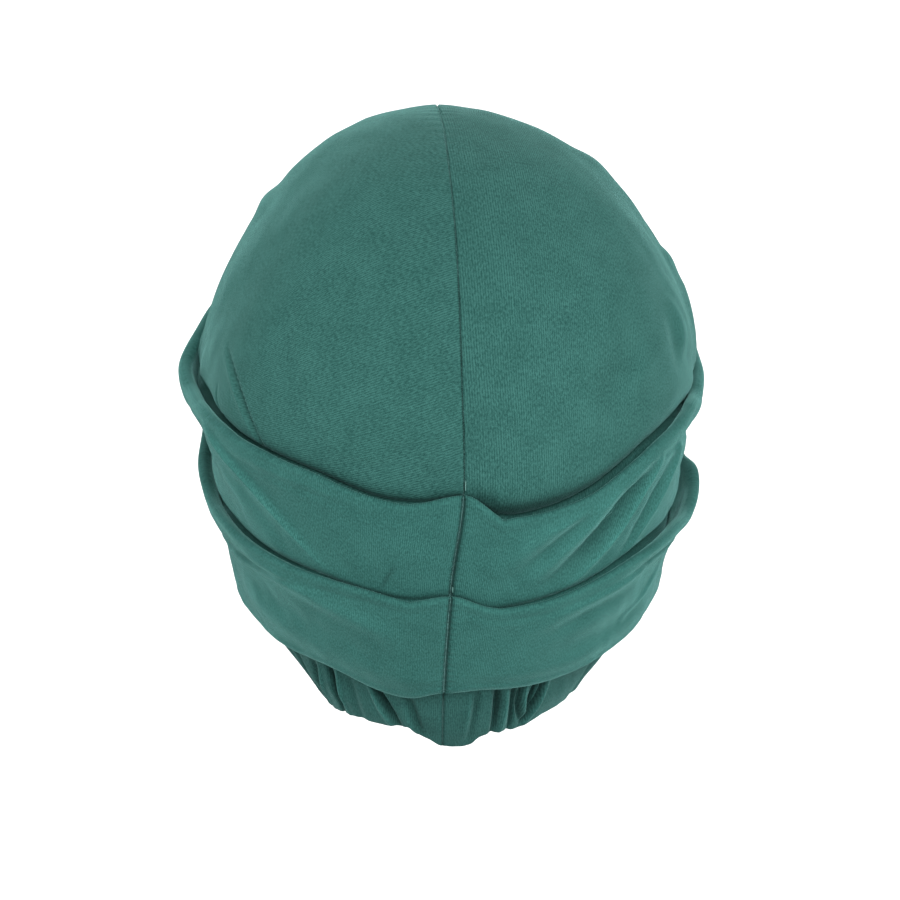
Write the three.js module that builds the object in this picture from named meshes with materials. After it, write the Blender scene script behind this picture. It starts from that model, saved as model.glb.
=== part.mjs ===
// A sewn jersey turban, held in the form it has when it is worn.
// Two crown panels meet at a centre seam. Two wide tucks run round the back and sides, one below the other,
// and a gathered nape piece hangs from behind the lower tuck.
//
// Millimetres, +Z up. The wearer faces -Y, so the back of the turban is at +Y and the wearer's left is +X.
// The origin is where the top of the head meets the inside of the crown.
import * as THREE from "three";

// Head form, measured to the outside of the crown. Heights in the tables below are from the girth,
// the widest level, and are lowered to the origin when the points are made.
const HALF_BREADTH = 82.2;
const HALF_DEPTH = 97;
const DOME_HEIGHT = 93.5;
const SECTION_POWER = 2.1; // 2 is an ellipse, more is squarer

// Cloth
const CROWN_WALL = 1.5;
const FOLD_WALL = 3; // two plies with a little air between
const NAPE_WALL = 1.5;
const LAYER_GAP = 0.4; // between one piece and the next one outside it
const SEAM_GAP = 0.3; // between the left and right halves

// How far a piece runs on behind the edge of the piece that covers it
const CROWN_TUCK = 16;
const UPPER_FOLD_TUCK = 14;
const NAPE_TUCK = 10;
const FLARE_REACH = 22; // below this distance from its edge, a fold lies close again

const ORIGIN_HEIGHT = DOME_HEIGHT - CROWN_WALL;

// How the head form narrows below the girth: the share of the girth radius that is left.
const TAPER = [
  { drop: 0, back: 1, flank: 1, front: 1 },
  { drop: 14, back: 0.989, flank: 0.94, front: 0.996 },
  { drop: 30, back: 0.957, flank: 0.893, front: 0.982 },
  { drop: 50, back: 0.895, flank: 0.822, front: 0.955 },
  { drop: 68, back: 0.82, flank: 0.76, front: 0.925 },
  { drop: 80, back: 0.76, flank: 0.672, front: 0.905 },
  { drop: 93, back: 0.69, flank: 0.56, front: 0.88 },
  { drop: 106, back: 0.62, flank: 0.465, front: 0.86 },
];
const FLANK_FROM = 70; // degrees from the back, where the flank column holds alone
const FLANK_TO = 95;
const FRONT_FROM = 145;

// The folds, a row for each azimuth in degrees from the back: heights of their edges, how far each edge
// flares away from the layer under it, and the height of the lower fold's own lower edge.
const FOLDS = {
  left: [
    { azimuth: 0, upper: -4, upperFlare: 0, lower: -38, lowerFlare: 0, bottom: -76.5 },
    { azimuth: 8, upper: -6.5, upperFlare: 0, lower: -39.5, lowerFlare: 0, bottom: -79.5 },
    { azimuth: 16, upper: -5.8, upperFlare: 0, lower: -38, lowerFlare: 0, bottom: -78.5 },
    { azimuth: 28, upper: 0, upperFlare: 0.3, lower: -35, lowerFlare: 0.2, bottom: -74 },
    { azimuth: 45, upper: 3.8, upperFlare: 0.5, lower: -32.6, lowerFlare: 0.6, bottom: -74.5 },
    { azimuth: 65, upper: 7.5, upperFlare: 0.8, lower: -28, lowerFlare: 1.5, bottom: -73 },
    { azimuth: 78, upper: 8, upperFlare: 1.6, lower: -25.5, lowerFlare: 1.8, bottom: -68 },
    { azimuth: 90, upper: 9.5, upperFlare: 3.2, lower: -22.5, lowerFlare: 1.8, bottom: -60 },
    { azimuth: 102, upper: 15.5, upperFlare: 2.4, lower: -19, lowerFlare: 0.4, bottom: -51 },
    { azimuth: 112, upper: 20.5, upperFlare: 0.4, lower: -12, lowerFlare: 0.2, bottom: -42 },
    { azimuth: 128, upper: 27, upperFlare: 0.2, lower: 2, lowerFlare: 0.2, bottom: -25 },
    { azimuth: 145, upper: 34, upperFlare: 0.3, lower: 14, lowerFlare: 0.3, bottom: -8 },
    { azimuth: 180, upper: 46, upperFlare: 0.5, lower: 26, lowerFlare: 0.3, bottom: 8 },
  ],
  right: [
    { azimuth: 0, upper: -4, upperFlare: 0, lower: -38, lowerFlare: 0, bottom: -76.5 },
    { azimuth: 8, upper: -12.5, upperFlare: 0.8, lower: -43, lowerFlare: 0.3, bottom: -76 },
    { azimuth: 16, upper: -10.5, upperFlare: 1.2, lower: -42.5, lowerFlare: 0.5, bottom: -77 },
    { azimuth: 28, upper: -6, upperFlare: 1, lower: -39.8, lowerFlare: 0.8, bottom: -77.5 },
    { azimuth: 45, upper: 2.4, upperFlare: 0.2, lower: -34.5, lowerFlare: 1.2, bottom: -76 },
    { azimuth: 65, upper: 6, upperFlare: 0.1, lower: -32.5, lowerFlare: 2.4, bottom: -74 },
    { azimuth: 78, upper: 6.5, upperFlare: 0.1, lower: -32.5, lowerFlare: 3.6, bottom: -68.5 },
    { azimuth: 90, upper: 8, upperFlare: 0.1, lower: -31.5, lowerFlare: 4.4, bottom: -61 },
    { azimuth: 98, upper: 10, upperFlare: 0.1, lower: -30.5, lowerFlare: 3.4, bottom: -56.5 },
    { azimuth: 106, upper: 13, upperFlare: 0.1, lower: -30.5, lowerFlare: 0.8, bottom: -52 },
    { azimuth: 116, upper: 18, upperFlare: 0.1, lower: -26, lowerFlare: 0.2, bottom: -45 },
    { azimuth: 130, upper: 25, upperFlare: 0.2, lower: -11, lowerFlare: 0.2, bottom: -31 },
    { azimuth: 145, upper: 32, upperFlare: 0.3, lower: 5, lowerFlare: 0.3, bottom: -14 },
    { azimuth: 180, upper: 46, upperFlare: 0.5, lower: 26, lowerFlare: 0.3, bottom: 8 },
  ],
};

// Lower edge of the nape piece
const NAPE_HEM = [
  { azimuth: 0, hem: -101.5 },
  { azimuth: 8, hem: -100 },
  { azimuth: 15, hem: -95.5 },
  { azimuth: 30, hem: -94.5 },
  { azimuth: 50, hem: -95 },
  { azimuth: 62, hem: -91 },
  { azimuth: 75, hem: -79 },
  { azimuth: 88, hem: -61 },
];
const NAPE_REACH = 86; // degrees from the back
const NAPE_PUFF = 1.2; // how far the gathered cloth swells between its grooves

// Grooves between the gathers: where each meets the hem, how far its top leans back toward the front of
// the head, its half width in degrees and its depth.
const GATHERS = {
  left: [
    { azimuth: 5, lean: 1, width: 1.6, depth: 0.8 },
    { azimuth: 12, lean: 6, width: 1.8, depth: 1.7 },
    { azimuth: 20, lean: 7, width: 2, depth: 1.3 },
    { azimuth: 28, lean: 8, width: 2.2, depth: 1.5 },
    { azimuth: 36, lean: 9, width: 2.4, depth: 1.8 },
    { azimuth: 48, lean: 6, width: 3, depth: 1.3 },
    { azimuth: 60, lean: 2, width: 4, depth: 1.1 },
  ],
  right: [
    { azimuth: 9, lean: -1, width: 1.8, depth: 0.7 },
    { azimuth: 17, lean: -3, width: 1.8, depth: 1.7 },
    { azimuth: 23, lean: -4, width: 1.8, depth: 1.4 },
    { azimuth: 29, lean: -5, width: 2, depth: 1.4 },
    { azimuth: 36, lean: -6, width: 2.2, depth: 1.6 },
    { azimuth: 50, lean: 0, width: 4, depth: 0.7 },
    { azimuth: 64, lean: 0, width: 4, depth: 1 },
  ],
};

// The centre seam wanders a little from the middle plane. The angle goes round the head in that plane:
// 0 at the back, 90 at the top, 180 at the front. A positive shift is toward the wearer's left.
const SEAM = [
  { angle: -62, shift: 1.8 },
  { angle: -42, shift: 1.2 },
  { angle: -20, shift: -1.2 },
  { angle: -3, shift: -4.8 },
  { angle: 20, shift: -4.2 },
  { angle: 45, shift: -2.6 },
  { angle: 75, shift: 0.8 },
  { angle: 105, shift: 3.6 },
  { angle: 140, shift: 1.5 },
  { angle: 180, shift: 0 },
];
const SEAM_REACH = 60; // the cloth beside the seam shifts with it, less and less up to here

// Steps of the faceted surfaces, in degrees of azimuth, and in rows from the top of a piece to its bottom
const AZIMUTHS = [
  0, 2.5, 5, 8, 11, 15, 20, 26, 32, 38, 45, 52, 59, 66, 73, 80, 87, 94, 101, 108, 116, 124, 132, 140, 148,
  156, 164, 172, 180,
];
const NAPE_STEP = 2;
const CROWN_ROWS = 16;
const FOLD_ROWS = 7;
const NAPE_ROWS = 5;

const SIDES = { left: 1, right: -1 };

// Smooth lookup: a cubic through the rows of a table, level at its first and last row.
function lookup(rows, by, key, value) {
  const last = rows.length - 1;
  const x = THREE.MathUtils.clamp(value, rows[0][by], rows[last][by]);
  let i = 0;
  while (i < last - 1 && x > rows[i + 1][by]) {
    i += 1;
  }
  const slope = (k) => {
    if (k === 0 || k === last) return 0;
    return (rows[k + 1][key] - rows[k - 1][key]) / (rows[k + 1][by] - rows[k - 1][by]);
  };
  const span = rows[i + 1][by] - rows[i][by];
  const t = (x - rows[i][by]) / span;
  const rise = t * t * (3 - 2 * t);
  const leave = t * (1 - t) * (1 - t) * span * slope(i);
  const arrive = t * t * (1 - t) * span * slope(i + 1);
  return rows[i][key] * (1 - rise) + rows[i + 1][key] * rise + leave - arrive;
}

// Radius of the girth toward an azimuth
function girthRadius(azimuth) {
  const angle = THREE.MathUtils.degToRad(azimuth);
  const across = Math.abs(Math.sin(angle) / HALF_BREADTH) ** SECTION_POWER;
  const along = Math.abs(Math.cos(angle) / HALF_DEPTH) ** SECTION_POWER;
  return (across + along) ** (-1 / SECTION_POWER);
}

// Radius of the head form at a height, to the outside of the crown
function formRadius(azimuth, height) {
  if (height >= 0) {
    return girthRadius(azimuth) * Math.sqrt(Math.max(0, 1 - (height / DOME_HEIGHT) ** 2));
  }
  const back = 1 - THREE.MathUtils.smoothstep(azimuth, 0, FLANK_FROM);
  const front = THREE.MathUtils.smoothstep(azimuth, FLANK_TO, FRONT_FROM);
  const share =
    back * lookup(TAPER, "drop", "back", -height) +
    front * lookup(TAPER, "drop", "front", -height) +
    (1 - back - front) * lookup(TAPER, "drop", "flank", -height);
  return girthRadius(azimuth) * share;
}

// A point of the left or right half, from its azimuth, radius and height above the girth
function place(side, azimuth, radius, height) {
  const angle = THREE.MathUtils.degToRad(azimuth);
  const x = SIDES[side] * radius * Math.sin(angle);
  const y = radius * Math.cos(angle);
  const turn = THREE.MathUtils.radToDeg(Math.atan2(height, y));
  const around = turn < -90 ? turn + 360 : turn;
  const near = Math.max(0, 1 - (x / SEAM_REACH) ** 2) ** 2;
  const shift = lookup(SEAM, "angle", "shift", around) * near;
  return new THREE.Vector3(x + shift + (SIDES[side] * SEAM_GAP) / 2, y, height - ORIGIN_HEIGHT);
}

// Skin a run of wall sections into one closed body. A section lists its outer points and its inner points,
// both from the top down. Points that fall together, as at a rounded edge or at the apex, are shared.
function wallGeometry(sections) {
  const known = new Map();
  const positions = [];
  const triangles = [];
  const vertex = (point) => {
    const key = point.toArray().map((c) => c.toFixed(3)).join();
    if (!known.has(key)) {
      known.set(key, known.size);
      positions.push(point.x, point.y, point.z);
    }
    return known.get(key);
  };
  const triangle = (a, b, c) => {
    if (a !== b && b !== c && c !== a) triangles.push(a, b, c);
  };
  const quad = (...corners) => {
    const [a, b, c, d] = corners.map(vertex);
    triangle(a, b, c);
    triangle(a, c, d);
  };

  const foot = sections[0].outer.length - 1;
  for (let i = 0; i < sections.length - 1; i += 1) {
    const here = sections[i];
    const next = sections[i + 1];
    for (let j = 0; j < foot; j += 1) {
      quad(here.outer[j], here.outer[j + 1], next.outer[j + 1], next.outer[j]);
      quad(here.inner[j], next.inner[j], next.inner[j + 1], here.inner[j + 1]);
    }
    quad(here.outer[0], next.outer[0], next.inner[0], here.inner[0]);
    quad(here.outer[foot], here.inner[foot], next.inner[foot], next.outer[foot]);
  }
  const first = sections[0];
  const last = sections[sections.length - 1];
  for (let j = 0; j < foot; j += 1) {
    quad(first.outer[j], first.inner[j], first.inner[j + 1], first.outer[j + 1]);
    quad(last.outer[j], last.outer[j + 1], last.inner[j + 1], last.inner[j]);
  }

  const geometry = new THREE.BufferGeometry();
  geometry.setAttribute("position", new THREE.Float32BufferAttribute(positions, 3));
  geometry.setIndex(triangles);
  return geometry;
}

// The rows above face out on the right half, where the azimuth turns from the back toward -X,
// so the left half runs through its sections the other way.
function halfGeometry(side, azimuths, section) {
  const sections = azimuths.map((azimuth) => section(side, azimuth));
  if (side === "left") sections.reverse();
  return wallGeometry(sections);
}

function crownSection(side, azimuth) {
  const edge = lookup(FOLDS[side], "azimuth", "upper", azimuth) - CROWN_TUCK;
  const sweep = Math.acos(edge / DOME_HEIGHT);
  const outer = [];
  const inner = [];
  for (let j = 0; j <= CROWN_ROWS; j += 1) {
    const angle = (sweep * j) / CROWN_ROWS;
    const height = DOME_HEIGHT * Math.cos(angle);
    const radius = j === 0 ? 0 : formRadius(azimuth, height);
    const inset = Math.min(1, Math.sin(angle)) * CROWN_WALL;
    const drop = Math.max(0, Math.cos(angle)) * CROWN_WALL;
    outer.push(place(side, azimuth, radius, height));
    inner.push(place(side, azimuth, Math.max(0, radius - inset), height - drop));
  }
  return { outer, inner };
}

// A doubled wall between two heights, with both edges rounded. Its outer radius is a function of height.
function foldSection(side, azimuth, top, bottom, outerRadius) {
  const half = FOLD_WALL / 2;
  const edgeSteps = [0, 0.3, half];
  const depths = [...edgeSteps];
  for (let j = 1; j < FOLD_ROWS; j += 1) {
    depths.push(THREE.MathUtils.lerp(half, top - bottom - half, j / FOLD_ROWS));
  }
  depths.push(...edgeSteps.map((step) => top - bottom - step).reverse());

  const outer = [];
  const inner = [];
  for (const depth of depths) {
    const height = top - depth;
    const fromEdge = Math.min(depth, top - bottom - depth, half);
    const swell = Math.sqrt(Math.max(0, half ** 2 - (half - fromEdge) ** 2));
    const middle = outerRadius(height) - half;
    outer.push(place(side, azimuth, middle + swell, height));
    inner.push(place(side, azimuth, middle - swell, height));
  }
  return { outer, inner };
}

// How far a fold stands off at a height, from the flare of its edge
function flareAt(edge, flare, height) {
  return flare * (1 - THREE.MathUtils.smoothstep(edge - height, 0, FLARE_REACH));
}

function upperFoldSection(side, azimuth) {
  const row = (key) => lookup(FOLDS[side], "azimuth", key, azimuth);
  const outerRadius = (height) =>
    formRadius(azimuth, height) + LAYER_GAP + FOLD_WALL + flareAt(row("upper"), row("upperFlare"), height);
  return foldSection(side, azimuth, row("upper"), row("lower") - UPPER_FOLD_TUCK, outerRadius);
}

function lowerFoldSection(side, azimuth) {
  const row = (key) => lookup(FOLDS[side], "azimuth", key, azimuth);
  const outerRadius = (height) =>
    formRadius(azimuth, height) +
    2 * (LAYER_GAP + FOLD_WALL) +
    flareAt(row("lower"), row("lowerFlare"), height);
  return foldSection(side, azimuth, row("lower"), row("bottom"), outerRadius);
}

// The nape piece lies under the lower fold at its top and is drawn into gathers toward its hem.
function napeSection(side, azimuth) {
  const top = lookup(FOLDS[side], "azimuth", "bottom", azimuth) + NAPE_TUCK;
  const hem = lookup(NAPE_HEM, "azimuth", "hem", azimuth);
  const outer = [];
  const inner = [];
  for (let j = 0; j <= NAPE_ROWS; j += 1) {
    const down = j / NAPE_ROWS;
    const height = THREE.MathUtils.lerp(top, hem, down);
    const swell = THREE.MathUtils.smoothstep(down, 0.1, 0.6);
    let relief = NAPE_PUFF;
    for (const groove of GATHERS[side]) {
      const centre = groove.azimuth + groove.lean * (1 - down);
      relief -= groove.depth * Math.exp(-(((azimuth - centre) / groove.width) ** 2));
    }
    const radius = formRadius(azimuth, height) + LAYER_GAP + NAPE_WALL + swell * relief;
    outer.push(place(side, azimuth, radius, height));
    inner.push(place(side, azimuth, radius - NAPE_WALL, height));
  }
  return { outer, inner };
}

const napeAzimuths = [];
for (let azimuth = 0; azimuth <= NAPE_REACH; azimuth += NAPE_STEP) {
  napeAzimuths.push(azimuth);
}

const jersey = (color) => new THREE.MeshStandardMaterial({ color, roughness: 0.92, metalness: 0 });
const PIECES = [
  { name: "crown", azimuths: AZIMUTHS, section: crownSection, color: 0x3f726b },
  { name: "upper_fold", azimuths: AZIMUTHS, section: upperFoldSection, color: 0x3e746c },
  { name: "lower_fold", azimuths: AZIMUTHS, section: lowerFoldSection, color: 0x376c64 },
  { name: "nape_gather", azimuths: napeAzimuths, section: napeSection, color: 0x305f58 },
];

const turban = new THREE.Group();
turban.name = "turban";
for (const piece of PIECES) {
  for (const side of Object.keys(SIDES)) {
    const mesh = new THREE.Mesh(halfGeometry(side, piece.azimuths, piece.section), jersey(piece.color));
    mesh.name = `${piece.name}_${side}`;
    turban.add(mesh);
  }
}

export default turban;
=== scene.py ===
# %% [markdown]
# # A jersey turban
#
# The turban is sewn from knitted jersey: a smooth crown in two halves, two soft folds that wrap its back
# and sides, and a nape that is gathered on a hidden elastic. The CAD model holds each of these as a plain
# wall. Here each wall gets a finer one in the same place, with the creases, rolled edges, seam and knit of
# real cloth.

# %% Load the frame
import bmesh
import bpy
import numpy as np
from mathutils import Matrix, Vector


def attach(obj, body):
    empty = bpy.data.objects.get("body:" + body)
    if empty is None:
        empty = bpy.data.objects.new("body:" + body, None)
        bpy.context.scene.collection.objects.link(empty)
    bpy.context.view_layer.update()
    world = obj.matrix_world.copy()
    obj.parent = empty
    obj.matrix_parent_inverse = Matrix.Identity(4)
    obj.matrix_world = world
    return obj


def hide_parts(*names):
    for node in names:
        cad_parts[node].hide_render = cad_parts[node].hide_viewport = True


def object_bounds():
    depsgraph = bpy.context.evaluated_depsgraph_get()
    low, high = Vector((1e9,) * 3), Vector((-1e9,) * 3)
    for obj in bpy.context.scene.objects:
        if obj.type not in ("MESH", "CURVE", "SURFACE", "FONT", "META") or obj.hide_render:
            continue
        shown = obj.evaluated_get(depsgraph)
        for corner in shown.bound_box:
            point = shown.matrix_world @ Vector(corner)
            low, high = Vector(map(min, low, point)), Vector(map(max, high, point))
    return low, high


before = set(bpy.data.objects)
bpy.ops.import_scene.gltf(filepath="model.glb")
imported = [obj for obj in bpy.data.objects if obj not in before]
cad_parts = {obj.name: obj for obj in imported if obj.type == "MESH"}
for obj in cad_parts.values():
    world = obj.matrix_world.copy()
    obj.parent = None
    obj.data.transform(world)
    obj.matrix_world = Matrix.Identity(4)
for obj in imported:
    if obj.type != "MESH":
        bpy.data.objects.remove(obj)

MM = 0.001
cad_box = np.array(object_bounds())
print("CAD box, mm:", np.round(cad_box / MM, 1).tolist())

# %% [markdown]
# ## The form under the cloth
#
# Stretch cloth takes the shape of what fills it, so every piece is measured outwards from one form. It
# could be sculpted, but a formula keeps all the layers the same distance apart: a half ellipsoid above the
# girth, and below it the girth's own outline, drawn in towards the bottom by a share that a short table
# gives. A point is named by its azimuth, which is 0 at the middle of the back and 180 at the middle of the
# front, and by its height over the girth, both for one side of the form.

# %% The form under the cloth
HALF_BREADTH = 82.2
HALF_DEPTH = 97
DOME_HEIGHT = 93.5
SECTION_POWER = 2.1

# Share of the girth's radius that is left at each drop below the girth.
TAPER = np.array([
    # drop, back, flank, front
    [0, 1, 1, 1],
    [14, 0.989, 0.94, 0.996],
    [30, 0.957, 0.893, 0.982],
    [50, 0.895, 0.822, 0.955],
    [68, 0.82, 0.76, 0.925],
    [80, 0.76, 0.672, 0.905],
    [93, 0.69, 0.56, 0.88],
    [106, 0.62, 0.465, 0.86],
])
# Degrees from the back between which the flank column holds alone, and from where the front column does.
FLANK_FROM, FLANK_TO, FRONT_FROM = 70, 95, 145


def lookup(at, rows, column):
    """Smooth curve through one column of a table: cubic pieces whose slope at a row is that of the line
    between the two rows beside it, level at both ends."""
    stations, values = rows[:, 0], rows[:, column]
    at = np.clip(at, stations[0], stations[-1])
    slope = np.zeros_like(values)
    slope[1:-1] = (values[2:] - values[:-2]) / (stations[2:] - stations[:-2])
    row = np.clip(np.searchsorted(stations, at, side="right") - 1, 0, len(stations) - 2)
    span = stations[row + 1] - stations[row]
    t = (at - stations[row]) / span
    ends = (2 * t**3 - 3 * t**2 + 1) * values[row] + (3 * t**2 - 2 * t**3) * values[row + 1]
    return ends + span * ((t**3 - 2 * t**2 + t) * slope[row] + (t**3 - t**2) * slope[row + 1])


def ease(value, start, end):
    """Smooth step: 0 before start, 1 after end and 3t² - 2t³ between them."""
    t = np.clip((value - start) / (end - start), 0, 1)
    return t * t * (3 - 2 * t)


def girth(azimuth):
    """Radius of the superellipse |x / breadth|^p + |y / depth|^p = 1 in the direction of azimuth."""
    turn = np.radians(azimuth)
    across = np.abs(np.sin(turn)) / HALF_BREADTH
    along = np.abs(np.cos(turn)) / HALF_DEPTH
    return (across**SECTION_POWER + along**SECTION_POWER) ** (-1 / SECTION_POWER)


def taper(azimuth, height):
    """Share of the girth's radius below the girth, mixed from the table's three columns by azimuth."""
    drop = np.maximum(-height, 0)
    back = 1 - ease(azimuth, 0, FLANK_FROM)
    front = ease(azimuth, FLANK_TO, FRONT_FROM)
    flank = 1 - back - front
    return back * lookup(drop, TAPER, 1) + flank * lookup(drop, TAPER, 2) + front * lookup(drop, TAPER, 3)


def form(azimuth, height):
    """Radius of the form: the girth times the ellipsoid's share above it, or the taper's share below it."""
    dome = np.sqrt(np.clip(1 - (np.maximum(height, 0) / DOME_HEIGHT) ** 2, 0, 1))
    return girth(azimuth) * dome * taper(azimuth, height)


print("form, mm:", 2 * HALF_BREADTH, "broad,", 2 * HALF_DEPTH, "deep")

# %% [markdown]
# ## Where the folds lie
#
# The upper fold starts at its upper edge and runs down behind the lower one, and the lower fold runs from
# its own upper edge to its bottom. These lines are what the eye reads first, so each is a short table of
# heights round the form, one for each side, because a wrap never lies the same on both. Where the cloth is
# loose, the edge flares away from the crown.

# %% Where the folds lie
FOLDS = {
    "left": np.array([
        # azimuth, upper edge, its flare, lower edge, its flare, bottom
        [0, -4, 0, -38, 0, -76.5],
        [8, -6.5, 0, -39.5, 0, -79.5],
        [16, -5.8, 0, -38, 0, -78.5],
        [28, 0, 0.2, -35, 0.2, -74],
        [45, 3.6, 0, -33, 0.5, -72.5],
        [65, 6.2, -1.2, -30.6, -0.2, -69.5],
        [78, 5.6, -0.8, -29.6, -0.2, -66],
        [91, 9, 2.2, -24.2, 0.6, -60],
        [102, 15.2, 0.4, -19, 0, -51],
        [112, 20.5, 0.2, -12, 0, -42],
        [128, 27, 0, 2, 0, -25],
        [145, 34, 0.3, 14, 0.3, -8],
        [180, 46, 0.5, 26, 0.3, 8],
    ]),
    "right": np.array([
        [0, -4, 0, -38, 0, -76.5],
        [8, -11, 1, -43, 0.3, -76],
        [16, -11.2, 1.4, -42.5, 0.5, -77],
        [28, -7, 1.2, -39.8, 0.8, -77.5],
        [45, 2.4, 0, -35.2, 1.2, -75],
        [65, 5.4, -2.8, -35.3, 0.6, -71],
        [78, 4.6, -3.6, -36.6, 2, -67],
        [90, 6.6, -2.6, -34, 3.6, -60],
        [98, 9.6, -2.6, -30, 3.2, -56],
        [106, 13, -1.8, -29.5, 0.6, -52],
        [116, 18, -0.4, -26, 0, -45],
        [130, 25, 0, -11, 0, -31],
        [145, 32, 0.3, 5, 0.3, -14],
        [180, 46, 0.5, 26, 0.3, 8],
    ]),
}
UPPER, UPPER_FLARE, LOWER, LOWER_FLARE, BOTTOM = 1, 2, 3, 4, 5
SIDES = {"left": 1, "right": -1}

# The middle seam wanders sideways: shift in mm to the left by the angle over the top from the back.
SEAM = np.array([
    [-62, 1.8],
    [-42, 1.2],
    [-20, -1.2],
    [-3, -4.8],
    [20, -4.2],
    [45, -2.6],
    [75, 0.8],
    [105, 3.6],
    [140, 1.5],
    [180, 0],
])
SEAM_REACH = 60
CROWN_WALL = 1.5
ORIGIN_HEIGHT = DOME_HEIGHT - CROWN_WALL


def place(side, azimuth, radius, height):
    """Azimuth, radius and height to x, y, z in metres. The seam's shift is added to x, in full at the seam
    and fading to none at its reach by (1 - (x / reach)²)²."""
    turn = np.radians(azimuth)
    x = SIDES[side] * radius * np.sin(turn)
    y = radius * np.cos(turn)
    fade = np.clip(1 - (x / SEAM_REACH) ** 2, 0, 1) ** 2
    shift = lookup(np.degrees(np.arctan2(height, y)), SEAM, 1)
    x = x + fade * shift
    return np.stack(np.broadcast_arrays(x, y, height - ORIGIN_HEIGHT), axis=-1) * MM


print("upper fold at the seam,", lookup(np.array(0.0), FOLDS["left"], UPPER), "mm from the girth")

# %% [markdown]
# ## Creases and slack
#
# Soft cloth that is pulled round a form shows ridges where it is drawn tight, valleys beside them and
# creases. A cloth simulation would make some, but not these ones. So each is a line of three points on the
# surface, with a width, a rise and a lean, and the wall is raised or sunk along it. A slow unevenness, from
# a few sine waves in fixed directions, keeps the rest from looking turned on a lathe.

# %% Creases and slack
# Mm for a degree of azimuth on the folds.
MEAN_RADIUS = 88
ARC = np.pi * MEAN_RADIUS / 180
# Straight pieces in a line's curve, the width in mm under which a line is narrow, and waves in the slack.
STEPS = 20
NARROW = 6
WAVES = 10


def crease_relief(across, along, lines):
    """Sum over the lines of rise * exp(-(d / w)²). d is the distance to a curve of second degree through the
    line's three points, w its width, wider on one side by its lean, and the ends fade as a parabola does.
    All of it is in mm on the spread cloth: across from the middle seam, along up the seam."""
    relief = np.zeros(np.broadcast(across, along).shape)
    point = np.stack(np.broadcast_arrays(across, along), axis=-1)[..., None, :]
    t = np.linspace(0, 1, STEPS + 1)[:, None]
    for a0, h0, a1, h1, a2, h2, width, rise, lean in lines:
        knots = np.array([[a0, h0], [a1, h1], [a2, h2]])
        curve = (1 - t) * (1 - 2 * t) * knots[0] + 4 * t * (1 - t) * knots[1] + t * (2 * t - 1) * knots[2]
        start, run = curve[:-1], np.diff(curve, axis=0)
        share = np.clip(((point - start) * run).sum(-1) / (run**2).sum(-1), 0, 1)
        off = point - start - share[..., None] * run
        distance = np.sqrt((off**2).sum(-1))
        nearest = distance.argmin(-1)[..., None]
        turned = np.take_along_axis(run[:, 0] * off[..., 1] - run[:, 1] * off[..., 0], nearest, -1)[..., 0]
        way = (nearest[..., 0] + np.take_along_axis(share, nearest, -1)[..., 0]) / STEPS
        reach = width * (1 + lean * np.sign(turned))
        ends = np.clip(4 * way * (1 - way), 0, 1)
        relief += rise * ends * np.exp(-((np.take_along_axis(distance, nearest, -1)[..., 0] / reach) ** 2))
    return relief


def painted_light_of(across, along, lines):
    """How sharp the cloth stands up or sinks along the narrow lines, from -1 to 1: their relief for a rise of
    rise / width instead. The material paints this into the colour as a highlight on ridges and as shade in
    creases."""
    narrow = [line[:7] + (line[7] / line[6],) + line[8:] for line in lines if line[6] < NARROW]
    return np.clip(crease_relief(across, along, narrow), -1, 1)


def slack(across, along, size, seed):
    """Unevenness of about plus and minus one: sine waves of 0.7 to 1.6 times size mm, each in its own
    direction."""
    generator = np.random.default_rng(seed)
    heading, phase = generator.uniform(0, 2 * np.pi, (2, WAVES))
    length = size * generator.uniform(0.7, 1.6, WAVES)
    waves = across[..., None] * np.cos(heading) + along[..., None] * np.sin(heading)
    return np.sin(2 * np.pi * waves / length + phase).sum(-1) / np.sqrt(WAVES)


# Mm from stitch to stitch, how much the seam swells with them, and how slowly their spacing drifts.
STITCH = 2.1
STITCH_SWELL = 0.42
STITCH_DRIFT = 3


def seam_dip(distance, along, width, depth):
    """How far a ply sinks as it turns in at the seam: a quarter ellipse, upright at the seam, whose width
    swells and shrinks from stitch to stitch."""
    stitches = np.sin(2 * np.pi * along / STITCH + np.sin(along / STITCH_DRIFT))
    width = width * (1 + STITCH_SWELL * stitches)
    inside = np.clip(1 - distance / width, 0, 1)
    return depth * (1 - np.sqrt(1 - inside**2))


print("arc, mm for a degree of azimuth:", round(ARC, 3))

# %% [markdown]
# ## From grids to a closed wall
#
# Every piece is a wall with an outer and an inner face. A Solidify modifier could thicken one face, but it
# would not roll the edges. Here both faces are grids of points that share their first and last row, which
# closes the rolled edges, and a strip of faces closes each seam end. The knit's UV map counts wales and
# courses, the columns and rows of the knit, so the material needs no scale of its own.

# %% From grids to a closed wall
# Mm from wale to wale and from course to course: about 14 wales and 17 courses in a centimetre.
WALE = 0.72
COURSE = 0.58
# Metres under which points are merged.
WELD = 2e-7


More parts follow.
